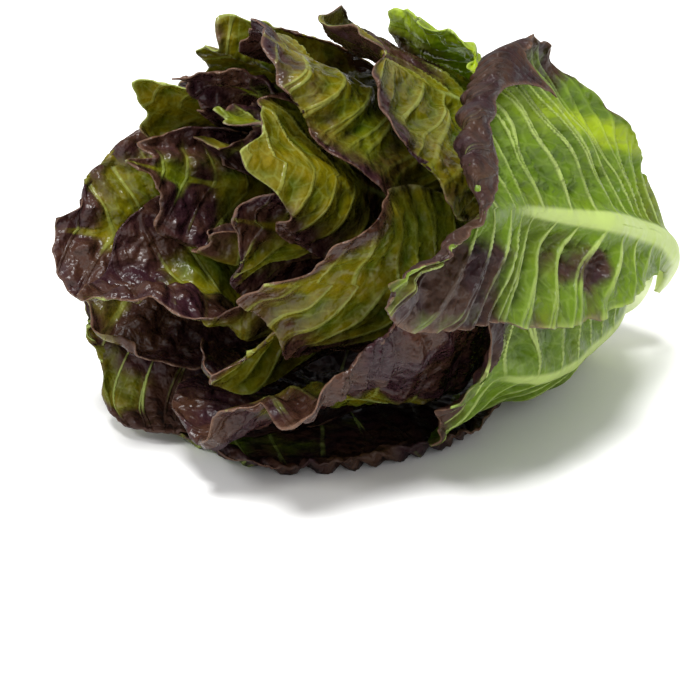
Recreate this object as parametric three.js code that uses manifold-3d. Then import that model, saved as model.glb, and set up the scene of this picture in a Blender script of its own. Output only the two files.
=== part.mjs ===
// A head of red romaine lettuce, lying on its side as it does on a table.
// The head is a short stem core that carries 22 loose leaves, each one its own closed solid with a
// thick pale midrib on its outer face. Millimetres, +Z up, butt towards +X, leaf tips towards -X.
// The origin is on the table, under the middle of the head's bounding box.
import * as THREE from "three";
import { mergeVertices } from "three/addons/utils/BufferGeometryUtils.js";
import Module from "manifold-3d";

const wasm = await Module();
wasm.setup();

// Driving dimensions of the whole head
const LEAF_COUNT = 22;
const GOLDEN_ANGLE = 137.5;
const FIRST_TURN = 72;
const AXIS_TILT = 22;
const BUTT_HEIGHT = 41;
const CORE_LENGTH = 96;
const CORE_BUTT_RADIUS = 23;
const CORE_TOP_RADIUS = 5;
const FIRST_ATTACH = 7;
const LAST_ATTACH = 88;
const CURVE_STEPS = 16;

// How a leaf leaves the core: degrees from the head's axis at its root and further up, heart and outermost
const ROOT_ANGLE = [12, 54];
const SPREAD_ANGLE = [1, 14];
const UNBEND_LENGTH = [48, 62];

// How the head is squashed as it lies: wider towards its lower front, closer over its top and back
const FLARE_FROM = -120;
const FLARE_TO = 220;
const FLARE_TURN = 160;
const FLARE_SHARE = 0.27;

// The table presses the lowest leaves flat: heights below the first value are squeezed, and the
// blade that the head rests on is flat at the second one, with the others a gap above it
const PRESS_HEIGHT = 18;
const TABLE_LEVEL = 6.8;
const RESTING_LEAF = 1;
const STACK_GAP = 1.3;

// Leaf sections
const BLADE_THICKNESS = 0.9;
const BASE_THICKNESS = [1.2, 2.6];
const RIB_HEIGHT = [1.0, 5.4];
const RIB_HALF_WIDTH = [3.5, 9];
const CLEARANCE = 0.6;
const CORE_GAP = 0.3;
const WIDEST_TURN = 68;

// Grid lines of a blade: along it from root to tip, and across it from margin to margin
const ROWS = [0, 0.07, 0.15, 0.24, 0.34, 0.43, 0.52, 0.61, 0.7, 0.79, 0.87, 0.94, 1];
const COLUMNS = [-1, -0.82, -0.58, -0.34, -0.1, 0, 0.1, 0.34, 0.58, 0.82, 1];

// One row a leaf, outermost first: [nudge of its turn in degrees, reach of its tip, half-width,
// share of the half-width on its lower side, wave height, wave count, slant of its tip, degrees that
// its rib leans on its way up, droop of its upper margin]
const LEAVES = [
  [-4, 286, 104, 0.38, 8, 1.6, 0.32, 18],
  [-24, 236, 76, 1, 4, 1.8, 0],
  [21, 206, 70, 1, 10, 1.9, 0.05],
  [-2, 200, 84, 0.62, 10, 1.9, -0.1],
  [-44, 262, 76, 1, 9, 1.7, 0],
  [-22, 266, 84, 1, 8, 1.5, 0, 30],
  [-28, 270, 86, 1, 10, 1.6, 0, 0, 26],
  [0, 256, 74, 1, 12, 1.9, 0],
  [5, 286, 42, 1.1, 11, 1.5, 0, 14],
  [6, 280, 74, 1, 12, 2, 0],
  [25, 286, 90, 1, 9, 1.4, 0],
  [-4, 262, 76, 1, 12, 1.8, 0],
  [4, 264, 66, 1, 12, 1.9, 0],
  [22, 284, 80, 0.5, 12, 1.6, 0],
  [0, 280, 70, 1, 12, 1.8, 0],
  [4, 270, 60, 1, 13, 2, 0],
  [0, 272, 54, 1, 12, 1.8, 0],
  [0, 266, 52, 1, 12, 1.9, 0],
  [0, 262, 46, 1, 10, 1.8, 0],
  [0, 254, 40, 1, 9, 1.7, 0],
  [0, 248, 34, 1, 7, 1.7, 0],
  [0, 240, 28, 1, 5, 1.6, 0],
];

const GREEN = new THREE.Color(0.3, 0.46, 0.12);
const OLIVE = new THREE.Color(0.3, 0.3, 0.06);
const PURPLE = new THREE.Color(0.13, 0.06, 0.08);
const PALE = new THREE.Color(0.82, 0.84, 0.64);

const DEG = Math.PI / 180;
const mix = (a, b, t) => a + (b - a) * t;
const clamp = (t, lo, hi) => Math.min(hi, Math.max(lo, t));
const smooth = (from, to, t) => {
  const s = clamp((t - from) / (to - from), 0, 1);
  return s * s * (3 - 2 * s);
};
const between = (pair, layer) => mix(pair[0], pair[1], layer);

// Seeded draws in 0..1, one sequence a leaf
function drawsFor(seed) {
  let state = 7919 * (seed + 1);
  return () => {
    state = (state * 16807) % 2147483647;
    return state / 2147483647;
  };
}

// The core: a cone with a full shoulder, its radius falling from the cut butt to its top
function coreRadius(along) {
  const share = clamp(1 - along / CORE_LENGTH, 0, 1);
  return CORE_TOP_RADIUS + (CORE_BUTT_RADIUS - CORE_TOP_RADIUS) * share ** 0.9;
}

const attachAlong = (layer) => mix(LAST_ATTACH, FIRST_ATTACH, layer);

// A leaf's profile beside the head's axis: it starts on the core and follows a direction that
// unbends from its root angle to its spread angle, summed over equal steps. Returns [along, out].
function profileAt(reach, layer) {
  const start = attachAlong(layer);
  const run = reach - start;
  const step = run / CURVE_STEPS;
  const root = between(ROOT_ANGLE, layer) * DEG;
  const spread = between(SPREAD_ANGLE, layer) * DEG;
  const unbend = between(UNBEND_LENGTH, layer);
  let along = start;
  let out = coreRadius(start);
  for (let i = 0; i < CURVE_STEPS; i++) {
    const angle = spread + (root - spread) * Math.exp(-Math.max(step * (i + 0.5), 0) / unbend);
    along += Math.cos(angle) * step;
    out += Math.sin(angle) * step;
  }
  return [along, out];
}

// A height above the table: below PRESS_HEIGHT it is squeezed smoothly, and never reaches zero
const pressed = (z) =>
  z < PRESS_HEIGHT ? PRESS_HEIGHT * Math.exp((z - PRESS_HEIGHT) / PRESS_HEIGHT) : z;

// From the head's own measures to the table's frame: along its axis, out from it, and turned in
// degrees from the top towards -Y
function placed(along, out, turn) {
  const flare = FLARE_SHARE * smooth(FLARE_FROM, FLARE_TO, along);
  const arm = out * (1 + flare * Math.cos((turn - FLARE_TURN) * DEG));
  const up = arm * Math.cos(turn * DEG);
  const side = arm * Math.sin(turn * DEG);
  const [c, s] = [Math.cos(AXIS_TILT * DEG), Math.sin(AXIS_TILT * DEG)];
  return [s * up - c * along, -side, pressed(BUTT_HEIGHT + s * along + c * up)];
}

const nestPoint = (reach, turn, layer) => placed(...profileAt(reach, layer), turn);

const minus = (a, b) => [a[0] - b[0], a[1] - b[1], a[2] - b[2]];
const cross = (a, b) => [
  a[1] * b[2] - a[2] * b[1],
  a[2] * b[0] - a[0] * b[2],
  a[0] * b[1] - a[1] * b[0],
];

// Clear distance between neighbouring layers, in millimetres for a whole unit of layer
function layerSpacing(reach, turn, layer) {
  const across = minus(nestPoint(reach, turn, layer + 0.02), nestPoint(reach, turn, layer - 0.02));
  const along = minus(nestPoint(reach + 1, turn, layer), nestPoint(reach - 1, turn, layer));
  return Math.hypot(...cross(across, along)) / Math.hypot(...along) / 0.04;
}

// The leaves, each with its place in the nest and its own seeded wave phases
const leaves = LEAVES.map((row, k) => {
  const [nudge, tip, half, lower, wave, count, slant, lean = 0, droop = 0] = row;
  const layer = 1 - k / (LEAF_COUNT - 1);
  const draw = drawsFor(k);
  const start = attachAlong(layer);
  const phases = Array.from({ length: 7 }, () => 2 * Math.PI * draw());
  const turn = FIRST_TURN + GOLDEN_ANGLE * k + nudge;
  const length = tip - start;
  return { k, layer, start, turn, length, half, lower, wave, count, slant, lean, droop, phases };
});

// Half-width of a leaf's outline as a share of its widest: a broad base, a slight waist, a wide blade
const outlineShare = (u) => 0.27 - 0.03 * smooth(0, 0.12, u) + 0.76 * smooth(0.1, 0.72, u);

// Half the turn that a leaf covers at a reach, in degrees, on its side v
function halfTurn(leaf, reach, v) {
  const u = clamp((reach - leaf.start) / leaf.length, 0, 1);
  const half = leaf.half * (v > 0 ? leaf.lower : 1) * outlineShare(u);
  const arm = profileAt(reach, leaf.layer)[1];
  return WIDEST_TURN * Math.tanh(half / arm / DEG / WIDEST_TURN);
}

// Turn of a leaf's rib at a reach
const ribTurn = (leaf, reach) =>
  leaf.turn + leaf.lean * clamp((reach - leaf.start) / leaf.length, 0, 1);

// Reach and turn of a blade's point: u runs from root to tip and v from margin to margin. The tip is
// rounded as a square grid is drawn into a disc, it slants, and its edge is ragged.
function outlinePoint(leaf, u, v) {
  const roundness = 0.4 * smooth(0.35, 1, u) * (1 - Math.sqrt(1 - v * v / 2));
  const narrowing = Math.sqrt(1 - clamp((u - 0.6) / 0.4, 0, 1) ** 2 / 2);
  const [, , , p3, p4] = leaf.phases;
  const edge = Math.max(Math.abs(v), smooth(0.6, 1, u)) ** 6;
  const ragged = 1 + 0.018 * edge * (Math.sin(9 * u + 4 * v + p3) + 0.6 * Math.sin(16 * u - 6 * v + p4));
  const slanted = 1 + leaf.slant * (v > 0 ? v : 0.4 * v) * smooth(0.2, 1, u);
  const reach = leaf.start - 3 + (leaf.length + 3) * u * (1 - roundness) * slanted * ragged;
  const turn = ribTurn(leaf, reach) + v * halfTurn(leaf, reach, v) * narrowing * ragged;
  return [reach, turn];
}

// Free way outwards and inwards from a leaf to the next leaves that cover the same place
function roomAround(leaf, reach, turn, spacing) {
  const arm = profileAt(reach, leaf.layer)[1];
  let [outwards, inwards] = [60, 60];
  for (const other of leaves) {
    if (other === leaf) continue;
    const offset = ((turn - ribTurn(other, reach) + 180) % 360 + 360) % 360 - 180;
    const beside = Math.max(0, Math.abs(offset) - halfTurn(other, reach, offset)) * DEG * arm;
    const beyond = Math.max(0, reach - other.start - other.length);
    const room = Math.abs(other.layer - leaf.layer) * spacing + 0.6 * (beside + beyond);
    if (other.layer > leaf.layer) outwards = Math.min(outwards, room);
    else inwards = Math.min(inwards, room);
  }
  return [outwards, inwards];
}

// Wave of the blade in millimetres: long waves that grow towards the margins, a roll of the tip, and
// an upper margin that droops outwards
function waveAt(leaf, u, v) {
  const [p0, p1, p2, , , p5, p6] = leaf.phases;
  const side = v < 0 ? p0 : p1;
  const rise = smooth(0.12, 0.5, u);
  const margin = v * v * Math.sin(2 * Math.PI * leaf.count * u + side);
  const middle = 0.35 * Math.sin(2 * Math.PI * (1.3 * u + 0.4 * v) + p2);
  const tip = smooth(0.6, 1, u) * (0.8 * Math.sin(2.6 * v + p5) + 0.25 * Math.sin(6 * v + p6));
  const droop = v < 0 ? leaf.droop * v * v * smooth(0.3, 0.8, u) : 0;
  return leaf.wave * rise * (margin + middle + tip) + droop;
}

const ribHeight = (leaf, u) => between(RIB_HEIGHT, leaf.layer) * (1 - 0.9 * smooth(0, 0.95, u));
const ribHalfWidth = (leaf, u) => between(RIB_HALF_WIDTH, leaf.layer) * mix(1, 0.22, u ** 0.7);
const bladeThickness = (leaf, u) =>
  mix(between(BASE_THICKNESS, leaf.layer), BLADE_THICKNESS, smooth(0, 0.35, u));

// Middle surface of a leaf at u, v, with how far its faces stand off it
function leafPoint(leaf, u, v) {
  const [reach, turn] = outlinePoint(leaf, u, v);
  const arm = profileAt(reach, leaf.layer)[1];
  const fromRib = (turn - ribTurn(leaf, reach)) * DEG * arm / ribHalfWidth(leaf, u);
  const half = bladeThickness(leaf, u) / 2;
  const outer = half + ribHeight(leaf, u) * Math.exp(-fromRib * fromRib);
  const spacing = layerSpacing(reach, turn, leaf.layer);
  const [roomOut, roomIn] = roomAround(leaf, reach, turn, spacing);
  const free = [
    Math.max(0.05, roomOut / 2 - outer - CLEARANCE),
    Math.max(0.05, roomIn / 2 - half - CLEARANCE),
  ];
  const wave = waveAt(leaf, u, v);
  const limit = wave > 0 ? free[0] : free[1];
  const shift = limit * Math.tanh(wave / limit);
  return { at: nestPoint(reach, turn, leaf.layer + shift / spacing), inner: half, outer };
}

// A closed blade: an inner and an outer grid, stood off the middle surface along its normals, and a rim
function leafGeometry(leaf) {
  const [rows, columns] = [ROWS.length, COLUMNS.length];
  const step = 1e-3;
  const corners = { inner: [], outer: [] };
  for (const u of ROWS) {
    for (const v of COLUMNS) {
      const { at, inner, outer } = leafPoint(leaf, u, v);
      const [u0, u1] = [Math.max(0, u - step), Math.min(1, u + step)];
      const [v0, v1] = [Math.max(-1, v - step), Math.min(1, v + step)];
      const lengthwise = minus(leafPoint(leaf, u1, v).at, leafPoint(leaf, u0, v).at);
      const crosswise = minus(leafPoint(leaf, u, v1).at, leafPoint(leaf, u, v0).at);
      const normal = new THREE.Vector3(...cross(lengthwise, crosswise)).normalize();
      const middle = new THREE.Vector3(...at);
      corners.inner.push(middle.clone().addScaledVector(normal, -inner));
      corners.outer.push(middle.clone().addScaledVector(normal, outer));
    }
  }
  const lowest = TABLE_LEVEL + (leaf.k === RESTING_LEAF ? 0 : STACK_GAP);
  for (const point of corners.inner) point.z = Math.max(point.z, lowest + BLADE_THICKNESS);
  for (const point of corners.outer) point.z = Math.max(point.z, lowest);
  const points = [...corners.inner, ...corners.outer];
  const far = rows * columns;
  const triangles = [];
  const quad = (a, b, c, d) => triangles.push(a, b, c, a, c, d);
  for (let i = 0; i < rows - 1; i++) {
    for (let j = 0; j < columns - 1; j++) {
      const a = i * columns + j;
      const [b, c, d] = [a + 1, a + columns + 1, a + columns];
      quad(a, b, c, d);
      triangles.push(far + a, far + c, far + b, far + a, far + d, far + c);
    }
  }
  const rim = [];
  for (let j = 0; j < columns - 1; j++) rim.push([j, j + 1]);
  for (let i = 0; i < rows - 1; i++) rim.push([(i + 1) * columns - 1, (i + 2) * columns - 1]);
  for (let j = columns - 1; j > 0; j--) rim.push([(rows - 1) * columns + j, (rows - 1) * columns + j - 1]);
  for (let i = rows - 1; i > 0; i--) rim.push([i * columns, (i - 1) * columns]);
  for (const [a, b] of rim) quad(b, a, far + a, far + b);
  const positions = points.flatMap((p) => [p.x, p.y, p.z]);
  return new THREE.BufferGeometry()
    .setAttribute("position", new THREE.Float32BufferAttribute(positions, 3))
    .setIndex(triangles);
}

// The core as a turned solid, grown by a margin where it is used as a cutter
function coreGeometry(grown) {
  const stations = [0, 0.08, 0.2, 0.34, 0.5, 0.66, 0.82, 0.93, 1];
  const profile = [
    new THREE.Vector2(0, -grown),
    new THREE.Vector2(CORE_BUTT_RADIUS - 3 + grown, -grown),
    ...stations.map((s) => {
      const along = 2.5 + s * (CORE_LENGTH - 2.5);
      return new THREE.Vector2(coreRadius(along) + grown, along);
    }),
    new THREE.Vector2(0, CORE_LENGTH + 2 + grown),
  ];
  const turned = new THREE.LatheGeometry(profile, 28);
  const axis = new THREE.Vector3(-Math.cos(AXIS_TILT * DEG), 0, Math.sin(AXIS_TILT * DEG));
  const turnTo = new THREE.Quaternion().setFromUnitVectors(new THREE.Vector3(0, 1, 0), axis);
  return turned.applyQuaternion(turnTo).translate(0, 0, BUTT_HEIGHT);
}

function solidOf(geometry) {
  const bare = geometry.clone();
  bare.deleteAttribute("normal");
  bare.deleteAttribute("uv");
  const merged = mergeVertices(bare, 1e-4);
  return new wasm.Manifold(
    new wasm.Mesh({
      numProp: 3,
      vertProperties: merged.attributes.position.array,
      triVerts: new Uint32Array(merged.index.array),
    }),
  );
}

function geometryOf(solid) {
  const { numProp, vertProperties, triVerts } = solid.getMesh();
  const geometry = new THREE.BufferGeometry()
    .setAttribute("position", new THREE.BufferAttribute(new Float32Array(vertProperties), numProp))
    .setIndex(new THREE.BufferAttribute(new Uint32Array(triVerts), 1));
  geometry.computeVertexNormals();
  return geometry;
}

const finish = (colour, roughness) =>
  new THREE.MeshStandardMaterial({ color: colour, roughness, metalness: 0 });

// The first leaves are green with olive, and the leaves inside them turn purple
function leafColour(leaf) {
  if (leaf.k < 4) return GREEN;
  return OLIVE.clone().lerp(PURPLE, clamp((leaf.k - 3) / 6, 0, 1));
}

const leafName = (leaf) => {
  const ring = leaf.k < 5 ? "outer" : leaf.k < 18 ? "inner" : "heart";
  return `leaf_${String(leaf.k + 1).padStart(2, "0")}_${ring}`;
};

// The largest body of a cut leaf, without slivers that a cut may leave
const mainBody = (solid) => solid.decompose().sort((a, b) => b.volume() - a.volume())[0];

const head = new THREE.Group();
const coreCutter = solidOf(coreGeometry(CORE_GAP));
const core = new THREE.Mesh(coreGeometry(0), finish(PALE, 0.45));
core.name = "stem_core";
head.add(core);
for (const leaf of leaves) {
  const blade = mainBody(solidOf(leafGeometry(leaf)).subtract(coreCutter));
  const mesh = new THREE.Mesh(geometryOf(blade), finish(leafColour(leaf), 0.45));
  mesh.name = leafName(leaf);
  head.add(mesh);
}

// The origin goes under the middle of the head, on the table
const box = new THREE.Box3().setFromObject(head);
const centre = box.getCenter(new THREE.Vector3());
head.position.set(-centre.x, -centre.y, -box.min.z);

export default head;
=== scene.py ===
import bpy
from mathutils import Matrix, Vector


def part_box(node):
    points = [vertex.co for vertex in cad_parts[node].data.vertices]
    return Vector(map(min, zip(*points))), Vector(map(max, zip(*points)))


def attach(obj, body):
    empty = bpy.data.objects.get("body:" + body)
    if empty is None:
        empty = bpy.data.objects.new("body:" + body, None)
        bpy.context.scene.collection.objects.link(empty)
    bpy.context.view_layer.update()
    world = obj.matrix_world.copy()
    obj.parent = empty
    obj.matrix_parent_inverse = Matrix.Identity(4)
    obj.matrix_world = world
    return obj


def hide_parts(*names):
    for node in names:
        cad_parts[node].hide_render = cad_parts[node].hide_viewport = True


bl_info = {
    "name": "Red Romaine Lettuce",
    "version": (1, 0, 0),
    "blender": (4, 5, 0),
    "location": "View3D > Sidebar > Lettuce",
    "description": "Dresses a packed lettuce head with blistered leaves, a cut stem and a studio",
    "category": "Add Mesh",
}

from math import pi, radians
from types import SimpleNamespace

import bpy
import numpy as np
from bpy.props import FloatProperty, FloatVectorProperty, PointerProperty
from mathutils import Vector

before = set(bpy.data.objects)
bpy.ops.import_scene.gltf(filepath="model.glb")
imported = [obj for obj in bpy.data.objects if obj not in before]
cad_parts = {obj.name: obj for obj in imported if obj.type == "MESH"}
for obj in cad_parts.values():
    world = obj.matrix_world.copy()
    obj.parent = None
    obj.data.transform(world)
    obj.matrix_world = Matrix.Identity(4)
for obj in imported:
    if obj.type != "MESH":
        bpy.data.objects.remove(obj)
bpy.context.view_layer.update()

# The head's driving dimensions in millimetres and degrees, the same as the solids'
LEAF_COUNT = 22
GOLDEN_ANGLE = 137.5
FIRST_TURN = 72
AXIS_TILT = radians(22)
BUTT_HEIGHT = 41
CORE_LENGTH = 96
CORE_BUTT_RADIUS = 23
CORE_TOP_RADIUS = 5
FIRST_ATTACH = 7
LAST_ATTACH = 88
CURVE_STEPS = 16
ROOT_ANGLE = (12, 54)
SPREAD_ANGLE = (1, 14)
UNBEND_LENGTH = (48, 62)
FLARE_FROM = -120
FLARE_TO = 220
FLARE_TURN = 160
FLARE_SHARE = 0.27
PRESS_HEIGHT = 18
TABLE_LEVEL = 6.8
RESTING_LEAF = 1
STACK_GAP = 1.3
BLADE_THICKNESS = 0.9
BASE_THICKNESS = (1.2, 2.6)
RIB_HEIGHT = (1.0, 5.4)
RIB_HALF_WIDTH = (3.5, 9)
CLEARANCE = 0.6
WIDEST_TURN = 68

# One row a leaf, outermost first: nudge of its turn in degrees, reach of its tip, half-width,
# share of the half-width on its lower side, wave height, wave count, slant of its tip, degrees that
# its rib leans on its way up, droop of its upper margin
LEAVES = [
    (-4, 286, 104, 0.38, 8, 1.6, 0.32, 18),
    (-24, 236, 76, 1, 4, 1.8, 0),
    (21, 206, 70, 1, 10, 1.9, 0.05),
    (-2, 200, 84, 0.62, 10, 1.9, -0.1),
    (-44, 262, 76, 1, 9, 1.7, 0),
    (-22, 266, 84, 1, 8, 1.5, 0, 30),
    (-28, 270, 86, 1, 10, 1.6, 0, 0, 26),
    (0, 256, 74, 1, 12, 1.9, 0),
    (5, 286, 42, 1.1, 11, 1.5, 0, 14),
    (6, 280, 74, 1, 12, 2, 0),
    (25, 286, 90, 1, 9, 1.4, 0),
    (-4, 262, 76, 1, 12, 1.8, 0),
    (4, 264, 66, 1, 12, 1.9, 0),
    (22, 284, 80, 0.5, 12, 1.6, 0),
    (0, 280, 70, 1, 12, 1.8, 0),
    (4, 270, 60, 1, 13, 2, 0),
    (0, 272, 54, 1, 12, 1.8, 0),
    (0, 266, 52, 1, 12, 1.9, 0),
    (0, 262, 46, 1, 10, 1.8, 0),
    (0, 254, 40, 1, 9, 1.7, 0),
    (0, 248, 34, 1, 7, 1.7, 0),
    (0, 240, 28, 1, 5, 1.6, 0),
]

# One row a leaf: purple share of its outer and inner face, warmth from green to yellow olive,
# height share of its blisters (above zero they stand outwards), frill of its margin, and how far
# its tip, upper margin and lower margin roll outwards, in degrees
LOOKS = [
    (0.02, 0.8, 0.05, -1.15, 1.1, 200, 120, 35),
    (0.55, 0.75, 0.3, -1.3, 0.1, -80, -120, 40),
    (0.0, 0.0, -0.8, -0.8, 1.8, 60, 60, 60),
    (0.2, 0.3, 0.1, -2.2, 1.6, 60, 60, 110),
    (0.3, 0.7, 0.9, -1.1, 0.5, 110, 100, 60),
    (0.3, 0.7, 0.85, -0.5, 0.4, 50, 60, 50),
    (0.95, 0.75, 0.8, 1.2, 0.4, 110, 110, 90),
    (0.15, 0.5, 1.0, -0.5, 0.5, -70, 70, 50),
    (0.22, 0.6, 1.0, -0.45, 0.3, -80, 60, -70),
    (0.35, 0.65, 0.9, -1.1, 0.5, 90, 110, -80),
    (0.22, 0.8, 0.9, -0.45, 0.3, -60, 50, 50),
    (0.25, 0.62, 1.0, -1.0, 0.4, 100, 120, 70),
    (0.5, 0.55, 0.8, 1.0, 0.4, 80, 90, 70),
    (0.3, 0.8, 1.0, -0.5, 0.3, -70, 80, -70),
    (0.3, 0.65, 0.9, -1.0, 0.4, 110, 90, 80),
    (0.7, 0.75, 0.7, 1.0, 0.4, 80, 100, -70),
    (0.4, 0.6, 0.8, -0.7, 0.4, 90, 80, 70),
    (0.35, 0.65, 0.8, -0.9, 0.4, 90, 90, 80),
    (0.4, 0.6, 0.8, -0.7, 0.4, 80, 70, 60),
    (0.3, 0.5, 0.9, -0.6, 0.4, 70, 60, 60),
    (0.3, 0.5, 0.9, -0.5, 0.4, 50, 50, 50),
    (0.3, 0.4, 0.9, -0.5, 0.3, 40, 40, 40),
]

LOOK_NAMES = (
    "purple_out", "purple_in", "warmth", "blister", "frill", "tip_roll", "up_roll", "low_roll",
)

# Patches of single leaves: leaf, middle along and across it and half sizes in millimetres, how much
# darker it is there and how much warmer
PATCHES = [
    (0, 245, 20, 56, 9, 1.0, 0),
    (0, 152, 17, 26, 8, 0.95, 0),
    (0, 305, 26, 18, 12, 0.45, 0.7),
    (0, 255, -60, 34, 16, 0.7, 0),
    (0, 115, -42, 60, 8, 0, -1.2),
    (3, 150, -22, 30, 16, 0.75, 0.2),
    (3, 170, 12, 26, 20, 0.5, 0.3),
    (4, 215, -20, 20, 14, -0.8, 0.2),
    (7, 200, 25, 60, 40, -0.7, 0.1),
    (1, 165, -20, 26, 14, -0.5, 0.2),
    (6, 160, 0, 26, 12, -0.6, 0.2),
    (9, 215, -34, 20, 13, -0.8, 0.2),
    (9, 195, 12, 16, 12, -0.5, 0),
    (12, 200, 0, 44, 40, -0.5, 0.2),
    (14, 228, -5, 14, 20, -0.7, 0),
    (14, 158, 6, 20, 18, -0.5, -0.2),
    (17, 160, 0, 24, 15, -0.8, -0.3),
    (16, 180, 14, 20, 14, -0.4, 0),
]

# Lateral veins leave the midrib this far apart and run forwards as they go out. Each one forks at a
# distance across the blade that swings from vein to vein.
LATERAL_SPACING = 17
LATERAL_SLOPE = 0.55
LATERAL_BEND = 0.0035
FORK_FROM = 17
FORK_SWING = 9
FORK_SLOPE = 0.013
VEIN_WIDTH = 1.3

# Rolled edges: the strip that rolls, how much of what a roll draws back is added to the blade,
# the steady and the varied part of its angle, and how far a curled edge may rise from the table
TIP_ROLL_LENGTH = 44
SIDE_ROLL_LENGTH = 28
TIP_ADDED = 0.45
SIDE_ADDED = 0.35
STEADY_ROLL = (0.9, 0.3)
UNEVEN_ROLL = (0.5, 1.1)
CURL_LIMIT = 12

# Near a tip that rolls by this angle in radians or more, folds lose this share of their height: it
# begins at the first of these distances inside the tip and is full at the second
CALM_ANGLE = 3
CALM_SHARE = 0.7
CALM_REACH = (66, 24)

# The frill's length along the margin and depth inside it, and the height share of the slow ripple
FRILL_LENGTH = 17
FRILL_DEPTH = 10
RIPPLE_SHARE = 0.028

# How much of the free way to the next leaves the long waves, the folds and the blisters may take
WAVE_SHARE = 0.36
FOLD_SHARE = 0.34
BLISTER_SHARE = 0.3

# Leaves by their place in the head, by how much of them shows, and those whose margins stay green
OUTER_LEAVES = range(0, 5)
INNER_LEAVES = range(5, 18)
HEART_LEAVES = range(18, 22)
FRONT_LEAF = 0
HIDDEN_LEAVES = (1, 2, 3, 4, 7, 15, 16, 17)
PLAIN_MARGINS = (2, 3)

# Grid of a blade, rows along it and columns across it
FRONT_GRID = (268, 184)
SHOWN_GRID = (130, 92)
HIDDEN_GRID = (104, 76)
HEART_GRID = (76, 44)

# How much closer together a grid's lines stand at the tip and the margins
GATHER = 0.25

# Seeds of the noise are this far apart from leaf to leaf
SEED_STEP = 31

# The core: where its solid's rings stand on the flank, width and height of its cut edge, how far
# its top closes past its length, and the sides of the solid and of the drawn core
CORE_STATIONS = (0, 0.08, 0.2, 0.34, 0.5, 0.66, 0.82, 0.93, 1)
CORE_EDGE_WIDTH = 3
CORE_EDGE_HEIGHT = 2.5
CORE_CAP = 2
SOLID_SIDES = 28
STEM_SIDES = 96

# Width of the floor in metres
FLOOR_WIDTH = 10

# Where each sun shines from, and its angle in degrees; its strength is a setting of the same name
SUNS = {
    "key": ((-0.3, -0.26, 1.1), 22),
    "fill": ((-0.9, -0.05, 0.8), 14),
    "front": ((-0.5, -0.9, 0.4), 40),
}

# What a leaf's skin reads from its points
MASK_NAMES = ("base", "rib", "purple", "veined", "lateral", "fork", "rim", "puff", "warm")


def mix(a, b, share):
    """The value that lies a share of the way from a to b."""
    return a + (b - a) * share


def smooth(low, high, value):
    """A step from 0 at low to 1 at high, with level ends: 3s^2 - 2s^3."""
    s = np.clip((value - low) / (high - low), 0, 1)
    return s * s * (3 - 2 * s)


def draws(seed, count):
    """Seeded numbers in 0..1, each the one before it times 16807, one sequence a leaf."""
    state, drawn = 7919 * (seed + 1), []
    for _ in range(count):
        state = state * 16807 % 2147483647
        drawn.append(state / 2147483647)
    return drawn


def scatter(i, j, seed):
    """A fixed number in 0..1 for each pair of whole numbers, by mixing their bits."""
    n = (i * 73856093) ^ (j * 19349663) ^ (seed * 83492791)
    n = n & 0xFFFFFFFF
    n = (n ^ (n >> 13)) * 1274126177 & 0x7FFFFFFF
    return ((n ^ (n >> 16)) & 0xFFFF) / 0xFFFF


def drift(x, y, seed):
    """Smooth noise in -1..1: fixed numbers at whole points, eased between them."""
    i, j = np.floor(x).astype(np.int64), np.floor(y).astype(np.int64)
    a, b = smooth(0, 1, x - i), smooth(0, 1, y - j)
    low = mix(scatter(i, j, seed), scatter(i + 1, j, seed), a)
    high = mix(scatter(i, j + 1, seed), scatter(i + 1, j + 1, seed), a)
    return 2 * mix(low, high, b) - 1


def pillows(x, y, seed):
    """Blisters in 0..1 on a plane of one-unit cells with one scattered centre each: they rise with
    the distance to the second nearest centre less the distance to the nearest one."""
    i, j = np.floor(x).astype(np.int64), np.floor(y).astype(np.int64)
    nearest, second = np.full(x.shape, 9.0), np.full(x.shape, 9.0)
    for di in (-1, 0, 1):
        for dj in (-1, 0, 1):
            cx = i + di + 0.15 + 0.7 * scatter(i + di, j + dj, seed)
            cy = j + dj + 0.15 + 0.7 * scatter(i + di, j + dj, seed + 1)
            away = np.hypot(cx - x, cy - y)
            second = np.minimum(second, np.maximum(nearest, away))
            nearest = np.minimum(nearest, away)
    return 1 - np.exp(-(second - nearest) / 0.3)


def core_radius(along):
    """The core's radius, from its butt radius to its top radius, a little full below the top."""
    share = np.clip(1 - along / CORE_LENGTH, 0, 1)
    return CORE_TOP_RADIUS + (CORE_BUTT_RADIUS - CORE_TOP_RADIUS) * share**0.9


def profile(reach, layer):
    """Along and out from the head's axis at a length up a leaf of a layer: equal steps whose angle
    falls from the root angle to the spread angle as exp(-length / unbend length)."""
    start = mix(LAST_ATTACH, FIRST_ATTACH, layer)
    step = (reach - start) / CURVE_STEPS
    root, spread = np.radians(mix(*ROOT_ANGLE, layer)), np.radians(mix(*SPREAD_ANGLE, layer))
    along, out = start, core_radius(start)
    for i in range(CURVE_STEPS):
        fall = np.exp(-np.maximum(step * (i + 0.5), 0) / mix(*UNBEND_LENGTH, layer))
        angle = spread + (root - spread) * fall
        along = along + np.cos(angle) * step
        out = out + np.sin(angle) * step
    return along, out


def nest(reach, turn, layer):
    """A place in the nest of leaves: the layer's profile turned about the tilted axis, flared
    towards the lower front, and squeezed smoothly above the table."""
    along, out = profile(reach, layer)
    flare = FLARE_SHARE * smooth(FLARE_FROM, FLARE_TO, along)
    arm = out * (1 + flare * np.cos(np.radians(turn - FLARE_TURN)))
    up, side = arm * np.cos(np.radians(turn)), arm * np.sin(np.radians(turn))
    c, s = np.cos(AXIS_TILT), np.sin(AXIS_TILT)
    z = BUTT_HEIGHT + s * along + c * up
    z = np.where(z < PRESS_HEIGHT, PRESS_HEIGHT * np.exp((z - PRESS_HEIGHT) / PRESS_HEIGHT), z)
    return np.stack([s * up - c * along, -side, z], axis=-1)


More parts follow.
